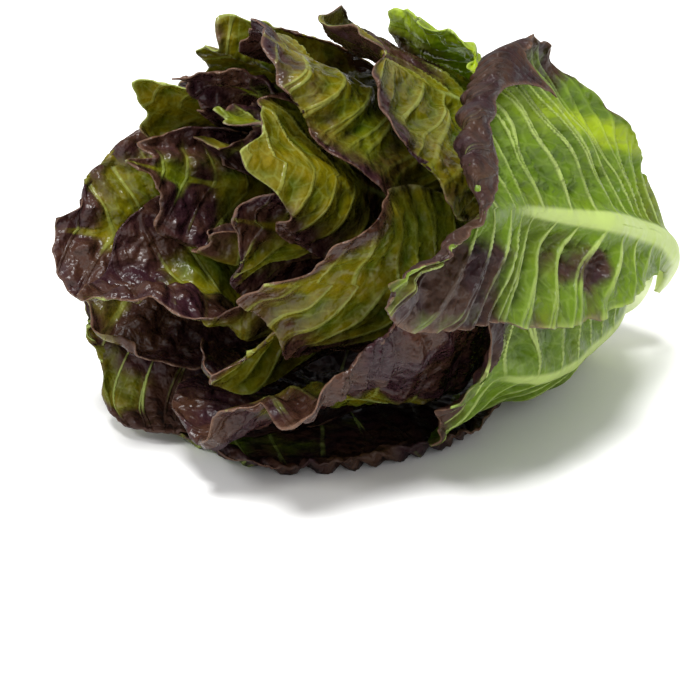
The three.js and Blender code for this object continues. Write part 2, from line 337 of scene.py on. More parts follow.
def ripple(reach, turn):
    """A slow in and out of the whole nest, as a share of its layers: three sines of the turn and
    the reach that grow up the head. All leaves share it, so it brings none of them together."""
    t = np.radians(turn)
    waves = np.sin(6 * t + reach / 24) + 0.8 * np.sin(9 * t - reach / 19 + 1)
    waves = waves + 0.7 * np.sin(4 * t + reach / 41 + 2)
    return RIPPLE_SHARE * smooth(90, 230, reach) * waves


def layer_spacing(reach, turn, layer):
    """Clear distance between layers: the part of the step from one layer to the next that is
    square to the leaf's length."""
    across = nest(reach, turn, layer + 0.02) - nest(reach, turn, layer - 0.02)
    along = nest(reach + 1, turn, layer) - nest(reach - 1, turn, layer)
    square = np.linalg.norm(np.cross(across, along), axis=-1)
    return square / np.linalg.norm(along, axis=-1) / 0.04


def blade_grid(k):
    """The grid of a leaf's blade, finer where more of it shows."""
    if k == FRONT_LEAF:
        return FRONT_GRID
    if k in HEART_LEAVES:
        return HEART_GRID
    return HIDDEN_GRID if k in HIDDEN_LEAVES else SHOWN_GRID


def make_leaf(k):
    """The measures of one leaf: its place in the nest, its outline and its look."""
    nudge, tip, half, lower, wave, count, slant, lean, droop = (*LEAVES[k], 0, 0)[:9]
    layer = 1 - k / (LEAF_COUNT - 1)
    start = mix(LAST_ATTACH, FIRST_ATTACH, layer)
    ring = "outer" if k in OUTER_LEAVES else "inner" if k in INNER_LEAVES else "heart"
    return SimpleNamespace(
        k=k, layer=layer, start=start, length=tip - start, half=half, lower=lower, wave=wave,
        count=count, slant=slant, lean=lean, droop=droop,
        turn=FIRST_TURN + GOLDEN_ANGLE * k + nudge, seed=SEED_STEP * k,
        phases=[2 * np.pi * d for d in draws(k, 7)], node=f"leaf_{k + 1:02d}_{ring}",
        **dict(zip(LOOK_NAMES, LOOKS[k])),
    )


leaves = [make_leaf(k) for k in range(LEAF_COUNT)]


def half_turn(leaf, reach, v):
    """Half the turn that a leaf covers: its half-width over its distance from the axis, held
    below the widest turn."""
    u = np.clip((reach - leaf.start) / leaf.length, 0, 1)
    share = 0.27 - 0.03 * smooth(0, 0.12, u) + 0.76 * smooth(0.1, 0.72, u)
    half = leaf.half * np.where(v > 0, leaf.lower, 1) * share
    arm = profile(reach, leaf.layer)[1]
    return WIDEST_TURN * np.tanh(np.degrees(half / arm) / WIDEST_TURN)


def rib_turn(leaf, reach):
    """Turn of a leaf's rib, which leans evenly on its way from root to tip."""
    return leaf.turn + leaf.lean * np.clip((reach - leaf.start) / leaf.length, 0, 1)


def outline(leaf, u, v):
    """Reach and turn of a blade's point. The tip is rounded as a square is drawn into a disc, it
    slants, and the margin is ragged by sines of u and v and nibbled by noise."""
    roundness = 0.4 * smooth(0.35, 1, u) * (1 - np.sqrt(1 - v * v / 2))
    narrowing = np.sqrt(1 - np.clip((u - 0.6) / 0.4, 0, 1) ** 2 / 2)
    edge = np.maximum(np.abs(v), smooth(0.6, 1, u)) ** 6
    p3, p4 = leaf.phases[3:5]
    ragged = 1 + 0.018 * edge * (np.sin(9 * u + 4 * v + p3) + 0.6 * np.sin(16 * u - 6 * v + p4))
    lobes = 0.03 * edge * drift(u * 11, v * 5 + 3, leaf.k + 50)
    nibbled = 1 + lobes + 0.009 * leaf.frill * edge**2 * drift(u * 26, v * 12, leaf.k)
    slanted = 1 + leaf.slant * np.where(v > 0, v, 0.4 * v) * smooth(0.2, 1, u)
    reach = leaf.start - 3 + (leaf.length + 3) * u * (1 - roundness) * slanted * ragged * nibbled
    turn = rib_turn(leaf, reach) + v * half_turn(leaf, reach, v) * narrowing * ragged * nibbled
    return reach, turn, narrowing, roundness


def room_around(leaf, reach, turn, spacing):
    """Free way outwards and inwards to the next leaves that cover the same place."""
    arm = profile(reach, leaf.layer)[1]
    outwards, inwards = np.full(reach.shape, 90.0), np.full(reach.shape, 60.0)
    for other in leaves:
        if other is leaf:
            continue
        offset = (turn - rib_turn(other, reach) + 180) % 360 - 180
        beside = np.radians(np.maximum(0, np.abs(offset) - half_turn(other, reach, offset))) * arm
        beyond = np.maximum(0, reach - other.start - other.length)
        room = abs(other.layer - leaf.layer) * spacing + 0.6 * (beside + beyond)
        if other.layer > leaf.layer:
            outwards = np.minimum(outwards, room)
        else:
            inwards = np.minimum(inwards, room)
    return outwards, inwards


def rolled(inside, length, angle):
    """How far a strip draws back and stands off where its margin rolls: over the last length before
    the margin its direction turns to the angle, as the 1.5th power of the way."""
    way = np.clip(1 - inside / length, 0, 1)
    back, off, steps = 0.0, 0.0, 8
    for i in range(steps):
        bend = angle * (way * (i + 0.5) / steps) ** 1.5
        back = back + (1 - np.cos(bend)) * way * length / steps
        off = off + np.sin(bend) * way * length / steps
    return back, off


def wave_at(leaf, u, v):
    """Long waves that grow towards the margins, one through the middle, a roll of the tip, and an
    upper margin that droops outwards."""
    p0, p1, p2, _, _, p5, p6 = leaf.phases
    margin = v * v * np.sin(2 * np.pi * leaf.count * u + np.where(v < 0, p0, p1))
    middle = 0.35 * np.sin(2 * np.pi * (1.3 * u + 0.4 * v) + p2)
    tip = smooth(0.6, 1, u) * (0.8 * np.sin(2.6 * v + p5) + 0.25 * np.sin(6 * v + p6))
    droop = leaf.droop * np.where(v < 0, v * v, 0) * smooth(0.3, 0.8, u)
    return leaf.wave * smooth(0.12, 0.5, u) * (margin + middle + tip) + droop


def lie(leaf, u, v):
    """Where a blade's points lie before any relief: reach, turn and distance from the axis, how far
    along and across the blade they are, and how far inside its side margins and its tip."""
    reach, turn, narrowing, roundness = outline(leaf, u, v)
    arm = profile(reach, leaf.layer)[1]
    side_inside = (1 - np.abs(v)) * np.radians(half_turn(leaf, reach, v)) * narrowing * arm
    tip_inside = (1 - u) * leaf.length * (1 - roundness)
    return SimpleNamespace(
        u=u, v=v, reach=reach, turn=turn, arm=arm, along=reach - leaf.start,
        across=np.radians(turn - rib_turn(leaf, reach)) * arm, side_inside=side_inside,
        tip_inside=tip_inside, inside=np.minimum(side_inside, tip_inside),
    )


def roll_edges(leaf, at):
    """Reach and turn of a blade whose tip and margins roll, how far they stand off it, and how calm
    its relief is. An angle is a steady part plus noise along the edge. What a roll draws back, the
    blade partly gains in length and width. Near a tip that rolls far its relief is calm."""
    steady, varied = STEADY_ROLL if leaf.k in OUTER_LEAVES else UNEVEN_ROLL
    uneven = varied * drift(at.across / 30, 0 * at.u, leaf.seed)
    tip_angle = np.radians(leaf.tip_roll) * (steady + uneven)
    uneven = varied * drift(at.along / 40, np.sign(at.v), leaf.seed + 3)
    side_angle = np.radians(np.where(at.v < 0, leaf.up_roll, leaf.low_roll))
    side_angle = side_angle * smooth(0.2, 0.5, at.u) * (steady + uneven)
    tip_back, tip_off = rolled(at.tip_inside, TIP_ROLL_LENGTH, tip_angle)
    side_back, side_off = rolled(at.side_inside, SIDE_ROLL_LENGTH, side_angle)
    most_back = rolled(0 * at.tip_inside, TIP_ROLL_LENGTH, tip_angle)[0]
    reach = at.reach - tip_back + TIP_ADDED * most_back * smooth(0.3, 0.9, at.u)
    most_back = rolled(0 * at.side_inside, SIDE_ROLL_LENGTH, side_angle)[0]
    side_back = side_back - SIDE_ADDED * most_back * smooth(0.2, 0.9, np.abs(at.v))
    turn = at.turn - np.degrees(np.sign(at.v) * side_back / at.arm)
    rolls_far = np.clip(np.abs(tip_angle) / CALM_ANGLE, 0, 1)
    calm = 1 - CALM_SHARE * rolls_far * smooth(*CALM_REACH, at.tip_inside)
    return reach, turn, tip_off + side_off, calm


def folds(leaf, at, calm, sizes):
    """Heights of the frill and of the folds: noise along the margin in two sizes that dies out
    inwards, and noise over the blade in two sizes that grows up the leaf."""
    rise = np.exp(-at.inside / FRILL_DEPTH) * smooth(0.15, 0.45, at.u) * calm
    edgewise = (at.along * 0.8 + np.abs(at.across)) / FRILL_LENGTH + 9 * (at.v < 0)
    ruffle = drift(edgewise, at.across / 40, leaf.seed + 5)
    ruffle = ruffle + 0.35 * drift(2.1 * edgewise, at.across / 20, leaf.seed + 6)
    billow = drift(at.along / 44, at.across / 38, leaf.seed + 7)
    billow = billow + 0.5 * drift(at.along / 20, at.across / 18, leaf.seed + 8)
    frill = sizes.frill_height * leaf.frill * rise * ruffle
    return frill, sizes.fold_height * smooth(0.2, 0.5, at.u) * billow * calm


def vein_pattern(leaf, at):
    """The rib as a bell across the blade, narrower towards the tip, and the lateral veins and their
    forks as counts that pass a whole number on each vein. A vein is a bell of the distance to the
    nearest whole count, and fades towards the margins."""
    aside = np.abs(at.across)
    rib_width = mix(*RIB_HALF_WIDTH, leaf.layer) * mix(1, 0.15, at.u**0.6)
    rib = np.exp(-((aside / rib_width) ** 3))
    lateral = (at.along - LATERAL_SLOPE * aside - LATERAL_BEND * at.across**2) / LATERAL_SPACING
    lateral = lateral + 0.4 * drift(at.along / 37, np.sign(at.v), leaf.seed + 9)
    lateral = lateral + 0.16 * drift(at.along / 25, at.across / 18, leaf.seed + 10)
    swing = FORK_SWING * np.sin(2.1 * lateral + leaf.phases[0])
    fork = lateral - FORK_SLOPE * np.maximum(0, aside - FORK_FROM - swing)
    away = np.minimum(np.abs(lateral - np.round(lateral)), np.abs(fork - np.round(fork)))
    from_vein = away * LATERAL_SPACING / np.hypot(1, LATERAL_SLOPE)
    fade = smooth(0.06, 0.25, at.u)
    veined = fade * (1 - 0.75 * smooth(0.3, 1, np.abs(at.v)))
    broken = 0.8 + 0.6 * drift(at.along / 22, at.across / 16, leaf.seed + 12)
    veined = veined * np.clip(broken, 0, 1)
    vein = np.exp(-((from_vein / VEIN_WIDTH) ** 2)) * veined * (1 - rib)
    return SimpleNamespace(
        rib=rib, rib_width=rib_width, lateral=lateral, fork=fork, from_vein=from_vein, fade=fade,
        veined=veined, vein=vein,
    )


def blisters(leaf, at, veins, calm, size):
    """Blisters in 0..1: pillows in two sizes that sink to nothing on the veins and the rib, and are
    low at the margins."""
    rows = veins.lateral * LATERAL_SPACING / size
    cells = pillows(rows, np.abs(at.across) / size + 20 * (at.v < 0), leaf.seed + 11)
    small = pillows(at.along / size * 2.1, at.across / size * 2.1, leaf.seed + 13)
    off_rib = smooth(0.6, 2.2, np.abs(at.across) / (veins.rib_width + 2))
    free = smooth(0, 5, veins.from_vein) * off_rib
    puff = veins.fade * free * (0.35 + 0.65 * cells) * (0.72 + 0.28 * small)
    return puff * mix(0.4, 1, smooth(0, 16, at.inside)) * mix(0.4, 1, calm)


def blade(leaf, u, v, sizes):
    """The middle surface of a leaf with its half thicknesses and its masks. On the long waves lie
    rolled edges, folds and a frill, and blisters between the veins. Waves and folds each have a
    share of half the room to the next leaves, and are held in it by share * tanh(wave / share); the
    blisters use what they leave. Where the table presses a leaf flat, its blisters and its curled
    margin rise from the table."""
    at = lie(leaf, u, v)
    reach, turn, roll_off, calm = roll_edges(leaf, at)
    frill, billow = folds(leaf, at, calm, sizes)
    veins = vein_pattern(leaf, at)
    puff = blisters(leaf, at, veins, calm, sizes.blister_size)

    half = mix(mix(*BASE_THICKNESS, leaf.layer), BLADE_THICKNESS, smooth(0, 0.35, u)) / 2
    half = half * mix(0.6, 1, smooth(0, 6, at.inside))
    rib_height = mix(*RIB_HEIGHT, leaf.layer) * (1 - 0.9 * smooth(0, 0.95, u))
    outer = half + rib_height * veins.rib + sizes.vein_height * veins.vein
    spacing = layer_spacing(reach, turn, leaf.layer)
    room_out, room_in = room_around(leaf, reach, turn, spacing)
    free_out = np.maximum(0.05, room_out / 2 - outer - CLEARANCE)
    free_in = np.maximum(0.05, room_in / 2 - half - CLEARANCE)
    folded = roll_off + frill + billow
    shift = 0.0
    for wave, share in ((wave_at(leaf, u, v), WAVE_SHARE), (folded, FOLD_SHARE)):
        limit = share * np.where(wave > 0, free_out, free_in)
        shift = shift + limit * np.tanh(wave / limit)
    free = free_out + free_in
    full_height = abs(leaf.blister) * sizes.blister_height
    height = np.minimum(full_height, BLISTER_SHARE * free)
    if leaf.blister > 0:
        shift = shift + height * (puff - free_in / free)
    else:
        shift = shift - height * (puff - free_out / free)
    points = nest(reach, turn, leaf.layer + ripple(reach, turn) + shift / spacing)
    curl = np.clip(-roll_off, 0, CURL_LIMIT)
    pressed = np.clip(1 - points[..., 2] / PRESS_HEIGHT, 0, 1)
    points[..., 2] += pressed * (full_height * puff + curl)
    return points, half, outer, SimpleNamespace(**vars(at), **vars(veins), puff=puff)


def skin_masks(leaf, masks, outside):
    """What a face's colours are mixed by: pale at the base and on the rib, purple that grows to the
    margins and between the veins, patches as bells of the distance to their middle, and a thin
    painted highlight along the margin."""
    u, v = masks.u, masks.v
    broad = leaf.k in OUTER_LEAVES
    pale_to = 0.2 if broad else 0.42
    rib_share = 1 if broad else 0.75 if outside else 0.35
    purple = leaf.purple_out if outside else leaf.purple_in
    patch = 0.45 * drift(masks.along / 40, masks.across / 34, leaf.seed + 17)
    purple = purple + 0.35 * (u - 0.6) + 0.25 * (v * v - 0.3) + patch
    purple = purple + 0.3 * np.exp(-masks.inside / 9) * (leaf.k not in PLAIN_MARGINS)
    warm = leaf.warmth + 0.3 * drift(masks.along / 38, masks.across / 30, leaf.seed + 19)
    for k, along, across, half_along, half_across, darker, warmer in PATCHES:
        if k == leaf.k:
            off_along = (masks.along - along) / half_along
            off_across = (masks.across - across) / half_across
            near = np.exp(-(off_along**2 + off_across**2))
            blotches = 0.9 + 0.9 * drift(masks.along / 20, masks.across / 11, k)
            purple = purple + darker * near * blotches
            warm = warm + warmer * near
    purple = purple * smooth(0.12, 0.5, u) * (1 - 0.5 * masks.rib)
    return {
        "base": 1 - smooth(0.02, pale_to, u + 0.04 * drift(v * 4, u * 9, leaf.k)),
        "rib": masks.rib * (1 - smooth(0.5, 0.95, u)) * rib_share,
        "purple": np.clip(purple, 0, 1.2),
        "veined": masks.veined * (1 if broad else 0.4),
        "lateral": masks.lateral,
        "fork": masks.fork,
        # Painted highlight: where the thin lit edge of the margin is drawn
        "rim": np.exp(-((masks.inside / 1.1) ** 2)) * smooth(0.2, 0.4, u),
        "puff": masks.puff,
        "warm": warm,
    }


def core_frame():
    """The core's axis and two directions square to it, in the head's own frame."""
    c, s = np.cos(AXIS_TILT), np.sin(AXIS_TILT)
    return np.array([-c, 0, s]), np.array([s * s, c, s * c]), np.array([c * s, -s, c * c])


def turned(radii, alongs, sides, bump=0.0):
    """Rings of points about the core's axis, each radius grown by its bump."""
    axis, right, up = core_frame()
    angle = np.linspace(0, 2 * np.pi, sides, endpoint=False)
    radius = np.asarray(radii)[:, None] + bump
    ring = np.sin(angle)[:, None] * right + np.cos(angle)[:, None] * up
    points = radius[..., None] * ring + np.asarray(alongs)[:, None, None] * axis
    return points + np.array([0, 0, BUTT_HEIGHT])


def head_shift():
    """Where the frame has the head: from the middle of the drawn core to that of its solid."""
    flank = CORE_EDGE_HEIGHT + np.array(CORE_STATIONS) * (CORE_LENGTH - CORE_EDGE_HEIGHT)
    radii = np.concatenate([[0, CORE_BUTT_RADIUS - CORE_EDGE_WIDTH], core_radius(flank), [0]])
    alongs = np.concatenate([[0, 0], flank, [CORE_LENGTH + CORE_CAP]])
    points = turned(radii, alongs, SOLID_SIDES).reshape(-1, 3)
    low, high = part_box("stem_core")
    middle = (np.array(low) + np.array(high)) * 500
    return middle - (points.min(0) + points.max(0)) / 2


HEAD_SHIFT = head_shift()


def new_object(name, points, faces, attributes, uv=None):
    """A smooth-shaded object from points in millimetres, with a value a point in each attribute."""
    mesh = bpy.data.meshes.new(name)
    mesh.from_pydata(points / 1000, [], faces)
    for key, values in attributes.items():
        layer = mesh.attributes.new(key, "FLOAT", "POINT")
        layer.data.foreach_set("value", values.astype(np.float32))
    if uv is not None:
        corner = np.empty(len(mesh.loops), dtype=np.int32)
        mesh.loops.foreach_get("vertex_index", corner)
        layer = mesh.uv_layers.new(name="blade")
        layer.data.foreach_set("uv", uv[corner].astype(np.float32).ravel())
    mesh.shade_smooth()
    mesh.validate()
    piece = bpy.data.objects.new(name, mesh)
    bpy.context.scene.collection.objects.link(piece)
    return piece


def shell_faces(rows, columns):
    """Faces of an inner and an outer grid of points, numbered one after the other, and of the rim
    that joins their borders."""
    number = np.arange(rows * columns).reshape(rows, columns)
    far = rows * columns
    a, b, c, d = number[:-1, :-1], number[:-1, 1:], number[1:, 1:], number[1:, :-1]
    inner = np.stack([a, b, c, d], axis=-1).reshape(-1, 4)
    outer = far + np.stack([a, d, c, b], axis=-1).reshape(-1, 4)
    border = np.concatenate([number[0], number[1:, -1], number[-1, -2::-1], number[-2:0:-1, 0]])
    after = np.roll(border, -1)
    rim = np.stack([after, border, far + border, far + after], axis=-1)
    return np.concatenate([inner, outer, rim])


def leaf_object(leaf, grid, sizes):
    """A closed blade: the middle surface moved along its normals to an inner and an outer grid,
    with a rim. The grid is drawn together towards the tip and the margins, and nothing is under
    the table."""
    rows, columns = grid
    t = np.linspace(0, 1, rows)
    w = np.linspace(-1, 1, columns)
    rows_at, columns_at = t * (1 + GATHER - GATHER * t), w * (1 + GATHER - GATHER * w * w)
    u, v = np.meshgrid(rows_at, columns_at, indexing="ij")
    points, half, outer, masks = blade(leaf, u, v, sizes)
    normal = np.cross(np.gradient(points, axis=0), np.gradient(points, axis=1))
    normal /= np.maximum(np.linalg.norm(normal, axis=-1, keepdims=True), 1e-9)
    inner_grid = points - normal * half[..., None]
    outer_grid = points + normal * outer[..., None]
    lowest = TABLE_LEVEL + (0 if leaf.k == RESTING_LEAF else STACK_GAP)
    inner_grid[..., 2] = np.maximum(inner_grid[..., 2], lowest + BLADE_THICKNESS)
    outer_grid[..., 2] = np.maximum(outer_grid[..., 2], lowest)
    corners = np.concatenate([inner_grid.reshape(-1, 3), outer_grid.reshape(-1, 3)]) + HEAD_SHIFT

    inner_masks, outer_masks = skin_masks(leaf, masks, False), skin_masks(leaf, masks, True)
    attributes = {
        key: np.concatenate([inner_masks[key].ravel(), outer_masks[key].ravel()])
        for key in MASK_NAMES
    }
    uv = np.stack([masks.across.ravel(), masks.along.ravel()], axis=-1) / 100
    faces = shell_faces(rows, columns)
    return new_object(f"{leaf.node}_blade", corners, faces, attributes, np.concatenate([uv, uv]))


def stem_object():
    """The core as rings: over the cut face from its middle, round its edge and up the flank to a
    closed top. Scars and fibres are sines of the angle and the height."""
    face = np.linspace(0.0, 1, 14)[1:] ** 0.8 * (CORE_BUTT_RADIUS - CORE_EDGE_WIDTH)
    flank = CORE_EDGE_HEIGHT + np.linspace(0, 1, 60) * (CORE_LENGTH - CORE_EDGE_HEIGHT)
    edge, top = [CORE_BUTT_RADIUS - 1.2], [CORE_TOP_RADIUS / 2]
    radii = np.concatenate([face, edge, core_radius(flank), top])
    alongs = np.concatenate([0.5 * np.cos(face / 3), [0.9], flank, [CORE_LENGTH + 1.5]])
    angle = np.linspace(0, 2 * np.pi, STEM_SIDES, endpoint=False)
    on_flank = (np.arange(len(radii)) >= len(face) + 1)[:, None]
    height = alongs[:, None]
    scars = 0.7 * np.sin(5 * angle + height / 3.1) * np.sin(height / 2.3) - 0.5
    fibres = 0.2 * np.sin(31 * angle)
    points = turned(radii, alongs, STEM_SIDES, np.where(on_flank, scars + fibres, -0.2))
    ends = turned([0.0], [0.5], 1)[0], turned([0.0], [CORE_LENGTH + CORE_CAP], 1)[0]
    corners = np.concatenate([points.reshape(-1, 3), *ends]) + HEAD_SHIFT

    rows = len(radii)
    number = np.arange(rows * STEM_SIDES).reshape(rows, STEM_SIDES)
    butt, tip = number.size, number.size + 1
    a, b = number[:-1], np.roll(number[:-1], -1, axis=1)
    c, d = np.roll(number[1:], -1, axis=1), number[1:]
    faces = np.stack([a, b, c, d], axis=-1).reshape(-1, 4).tolist()
    for centre, ring in ((butt, number[0][::-1]), (tip, number[-1])):
        fan = [ring, np.roll(ring, -1), np.full(STEM_SIDES, centre)]
        faces += np.stack(fan, axis=-1).tolist()
    spread = np.repeat(np.clip(radii / CORE_BUTT_RADIUS, 0, 1), STEM_SIDES)
    cut = np.repeat((np.arange(rows) <= len(face)).astype(float), STEM_SIDES)
    up = np.repeat(np.clip(alongs / CORE_LENGTH, 0, 1), STEM_SIDES)
    attributes = {
        "ring": np.concatenate([spread, [0, 0]]),
        "cut": np.concatenate([cut, [1, 0]]),
        "up": np.concatenate([up, [0, 1]]),
    }
    return new_object("stem_flesh_core", corners, faces, attributes)


def aimed(data, name, place, target):
    """A camera or light object at a place, turned to look at a target."""
    thing = bpy.data.objects.new(name, data)
    thing.location = place
    thing.rotation_euler = (Vector(target) - Vector(place)).to_track_quat("-Z", "Y").to_euler()
    bpy.context.scene.collection.objects.link(thing)
    return thing


def add_node(tree, kind, inputs=None, **settings):
    """A node with its settings, and its inputs set to values or linked to other nodes' outputs."""
    node = tree.nodes.new(kind)
    for key, value in settings.items():
        setattr(node, key, value)
    for key, value in (inputs or {}).items():
        if isinstance(value, bpy.types.NodeSocket):
            tree.links.new(value, node.inputs[key])
        else:
            node.inputs[key].default_value = value
    return node


def calc(tree, operation, *values, clamp=False):
    """The output of a Math node."""
    inputs = dict(enumerate(values))
    return add_node(tree, "ShaderNodeMath", inputs, operation=operation, use_clamp=clamp).outputs[0]


def plus(tree, a, b):
    """The sum of two values."""
    return calc(tree, "ADD", a, b)


def minus(tree, a, b):
    """The first value less the second."""
    return calc(tree, "SUBTRACT", a, b)


def times(tree, a, b):
    """The product of two values."""
    return calc(tree, "MULTIPLY", a, b)


def blend(tree, share, first, second, kind="MIX"):
    """The output of a colour Mix node, whose colours are sockets or colour settings."""
    first, second = [c if isinstance(c, bpy.types.NodeSocket) else (*c, 1) for c in (first, second)]
    inputs = {0: share, 6: first, 7: second}
    return add_node(tree, "ShaderNodeMix", inputs, data_type="RGBA", blend_type=kind).outputs[2]


def attribute(tree, name):
    """The value of a point attribute."""
    return add_node(tree, "ShaderNodeAttribute", attribute_name=name).outputs["Fac"]


def noise(tree, vector, per_metre, detail, roughness=0.55):
    """A noise value with so many features a metre."""
    inputs = {"Vector": vector, "Scale": per_metre, "Detail": detail, "Roughness": roughness}
    return add_node(tree, "ShaderNodeTexNoise", inputs).outputs["Fac"]


def span(tree, value, low, high, to_low=0.0, to_high=1.0):
    """A value eased from one range into another."""
    inputs = {"Value": value, 1: low, 2: high, 3: to_low, 4: to_high}
    return add_node(tree, "ShaderNodeMapRange", inputs, interpolation_type="SMOOTHSTEP").outputs[0]


def lines(tree, value, thickness):
    """Thin lines where a value passes whole numbers: the size of its sine, cut at the thickness."""
    height = calc(tree, "ABSOLUTE", calc(tree, "SINE", times(tree, value, pi)))
    return span(tree, height, thickness, 3.5 * thickness, 1.0, 0.0)


def relief(tree, height, distance, strength):
    """The normal of a bump so many metres high."""
    inputs = {"Strength": strength, "Distance": distance, "Height": height}
    return add_node(tree, "ShaderNodeBump", inputs).outputs[0]


def new_material(name):
    """A material and its empty node tree."""
    material = bpy.data.materials.new(name)
    material.use_nodes = True
    material.node_tree.nodes.clear()
    return material, material.node_tree


def leaf_fields(tree):
    """What a leaf's skin is mixed by: the masks of its points, noise in three sizes, bubbles,
    lateral veins where their counts pass whole numbers, and a fine net from cell borders."""
    place = add_node(tree, "ShaderNodeTexCoord").outputs["Object"]
    flat = add_node(tree, "ShaderNodeUVMap", uv_map="blade").outputs["UV"]
    across = add_node(tree, "ShaderNodeSeparateXYZ", {0: flat}).outputs[0]
    at = SimpleNamespace(
        cloud=noise(tree, place, per_metre=42, detail=4),
        grain=noise(tree, place, per_metre=420, detail=3),
        knobs=noise(tree, place, per_metre=170, detail=2, roughness=0.4),
        **{name: attribute(tree, name) for name in MASK_NAMES},
    )
    at.bubbles = add_node(
        tree, "ShaderNodeTexVoronoi", {"Vector": place, "Scale": 150.0, "Smoothness": 0.5},
        feature="SMOOTH_F1",
    ).outputs["Distance"]
    veins = calc(tree, "MAXIMUM", lines(tree, at.lateral, 0.07), lines(tree, at.fork, 0.06))
    at.veins = times(tree, times(tree, veins, at.veined), minus(tree, 1.0, at.rib))
    columns, rows = times(tree, at.lateral, 2.4), times(tree, across, 16.0)
    meshed = add_node(
        tree, "ShaderNodeCombineXYZ", {0: columns, 1: rows, 2: at.cloud}
    ).outputs[0]
    borders = add_node(
        tree, "ShaderNodeTexVoronoi", {"Vector": meshed, "Scale": 1.0}, feature="DISTANCE_TO_EDGE",
    ).outputs["Distance"]
    at.net = span(tree, borders, 0.015, 0.09, 1.0, 0.0)
    return at


def leaf_colour(tree, at, colours):
    """A leaf's colour and how purple it is: bright yellow-green (partly a painted glow of light
    shining through) to green to olive by warmth, with painted shade in its pockets and creases,
    purple by its mask broken up by noise, a painted highlight along the margin, and pale ribs and
    base."""
    patchy = times(tree, minus(tree, at.cloud, 0.5), 1.1)
    warmth = plus(tree, at.warm, patchy)
    leafy = blend(tree, span(tree, warmth, 0.0, 1.0), colours.green, colours.olive)
    # Partly painted light: below zero warmth the skin turns bright yellow-green, a colour that also
    # paints the glow of light shining through a leaf
    leafy = blend(tree, span(tree, warmth, -0.1, -0.8), leafy, colours.backlit_lime)
    # Painted shade: the green darkens towards the shade green in the pockets between the veins and
    # in the creases between the bubbles, less where the warmth is below zero
    painted_shade = plus(tree, times(tree, at.puff, 0.6), times(tree, at.bubbles, 0.45))
    fading = span(tree, at.warm, -0.8, 0.1, 0.3, 1.0)
    painted_shade = calc(tree, "MULTIPLY", painted_shade, fading, clamp=True)
    leafy = blend(tree, painted_shade, leafy, colours.shade_green)
    light = calc(tree, "MAXIMUM", times(tree, at.net, 0.1), times(tree, at.veins, 0.8))
    leafy = blend(tree, light, leafy, colours.vein)

    broken = plus(tree, plus(tree, at.purple, patchy), times(tree, at.puff, 0.22))
    broken = minus(tree, broken, times(tree, at.veins, 0.25))
    dusk = span(tree, broken, 0.3, 0.75)
    wine = blend(tree, span(tree, at.cloud, 0.4, 0.62), colours.purple, colours.brown)
    skin = blend(tree, times(tree, dusk, 0.97), leafy, wine)
    # Painted highlight: a thin lit edge along the margin, pale vein green on green skin and the
    # margin colour on purple skin
    edge_highlight = blend(tree, dusk, colours.vein, colours.rim)
    skin = blend(tree, times(tree, at.rim, 0.42), skin, edge_highlight)
    skin = blend(tree, span(tree, at.rib, 0.25, 0.7), skin, colours.vein)
    return blend(tree, at.base, skin, colours.pale), dusk


def leaf_relief(tree, at, dusk, crumple):
    """The normal of a leaf's fine relief: knobs, bubbles and grain that are rougher where it is
    purple, raised veins, and nearly none on the rib and the base."""
    rough = plus(tree, 1.0 - crumple, times(tree, dusk, crumple))
    domes = minus(tree, times(tree, at.knobs, 1.6), times(tree, at.bubbles, 1.1))
    height = times(tree, plus(tree, domes, times(tree, at.grain, 0.1)), rough)
    height = plus(tree, height, times(tree, at.veins, 0.35))
    plain = times(tree, calc(tree, "MAXIMUM", at.base, at.rib), 0.85)
    return relief(tree, times(tree, height, minus(tree, 1.0, plain)), 0.0026, 1.0)


def leaf_material(name, colours, gloss, glow, shine, crumple):
    """A leaf's skin: its colour, its fine relief, and light that shines through it."""
    material, tree = new_material(name)
    at = leaf_fields(tree)
    skin, dusk = leaf_colour(tree, at, colours)
    bump = leaf_relief(tree, at, dusk, crumple)
    surface = add_node(
        tree, "ShaderNodeBsdfPrincipled",
        {
            "Base Color": skin, "Roughness": span(tree, at.grain, 0.3, 0.7, gloss, gloss + 0.14),
            "Normal": bump, "Specular IOR Level": shine,
        },
    ).outputs[0]
    through = blend(tree, 1.0, skin, colours.glow, "MULTIPLY")
    lit = add_node(tree, "ShaderNodeBsdfTranslucent", {"Color": through, "Normal": bump}).outputs[0]
    both = add_node(tree, "ShaderNodeMixShader", {0: glow, 1: surface, 2: lit}).outputs[0]
    add_node(tree, "ShaderNodeOutputMaterial", {"Surface": both})
    return material


def stem_material(colours):
    """The stem: pale flesh with fine fibres, greener towards the leaves, and a cut face whose rings
    and rim have browned a little."""
    material, tree = new_material("stem_flesh")
    place = add_node(tree, "ShaderNodeTexCoord").outputs["Object"]
    cloud = noise(tree, place, per_metre=90, detail=4)
    grain = noise(tree, place, per_metre=600, detail=2)
    ring, cut, up = [attribute(tree, name) for name in ("ring", "cut", "up")]
    flesh = blend(tree, span(tree, up, 0.1, 0.9), colours.pale, colours.vein)
    flesh = blend(tree, span(tree, cloud, 0.4, 0.7, 0.0, 0.3), flesh, colours.vein)
    rings = calc(tree, "SINE", plus(tree, times(tree, ring, 34.0), times(tree, cloud, 4.0)))
    outwards = times(tree, span(tree, ring, 0.35, 0.95), cut)
    stain = times(tree, span(tree, rings, -0.2, 1.0), outwards)
    flesh = blend(tree, times(tree, stain, 0.55), flesh, colours.stain)
    surface = add_node(
        tree, "ShaderNodeBsdfPrincipled",
        {
            "Base Color": flesh, "Roughness": span(tree, cloud, 0.3, 0.7, 0.3, 0.5),
            "Normal": relief(tree, grain, 0.0006, 0.4),
        },
    ).outputs[0]
    add_node(tree, "ShaderNodeOutputMaterial", {"Surface": surface})
    return material


def colour(name, description, value):
    """A colour setting."""
    return FloatVectorProperty(
        name=name, description=description, subtype="COLOR", size=3, min=0, max=1, default=value
    )


def strength(name, description, value):
    """A setting for the strength of a light."""
    return FloatProperty(name=name, description=description, min=0, default=value)


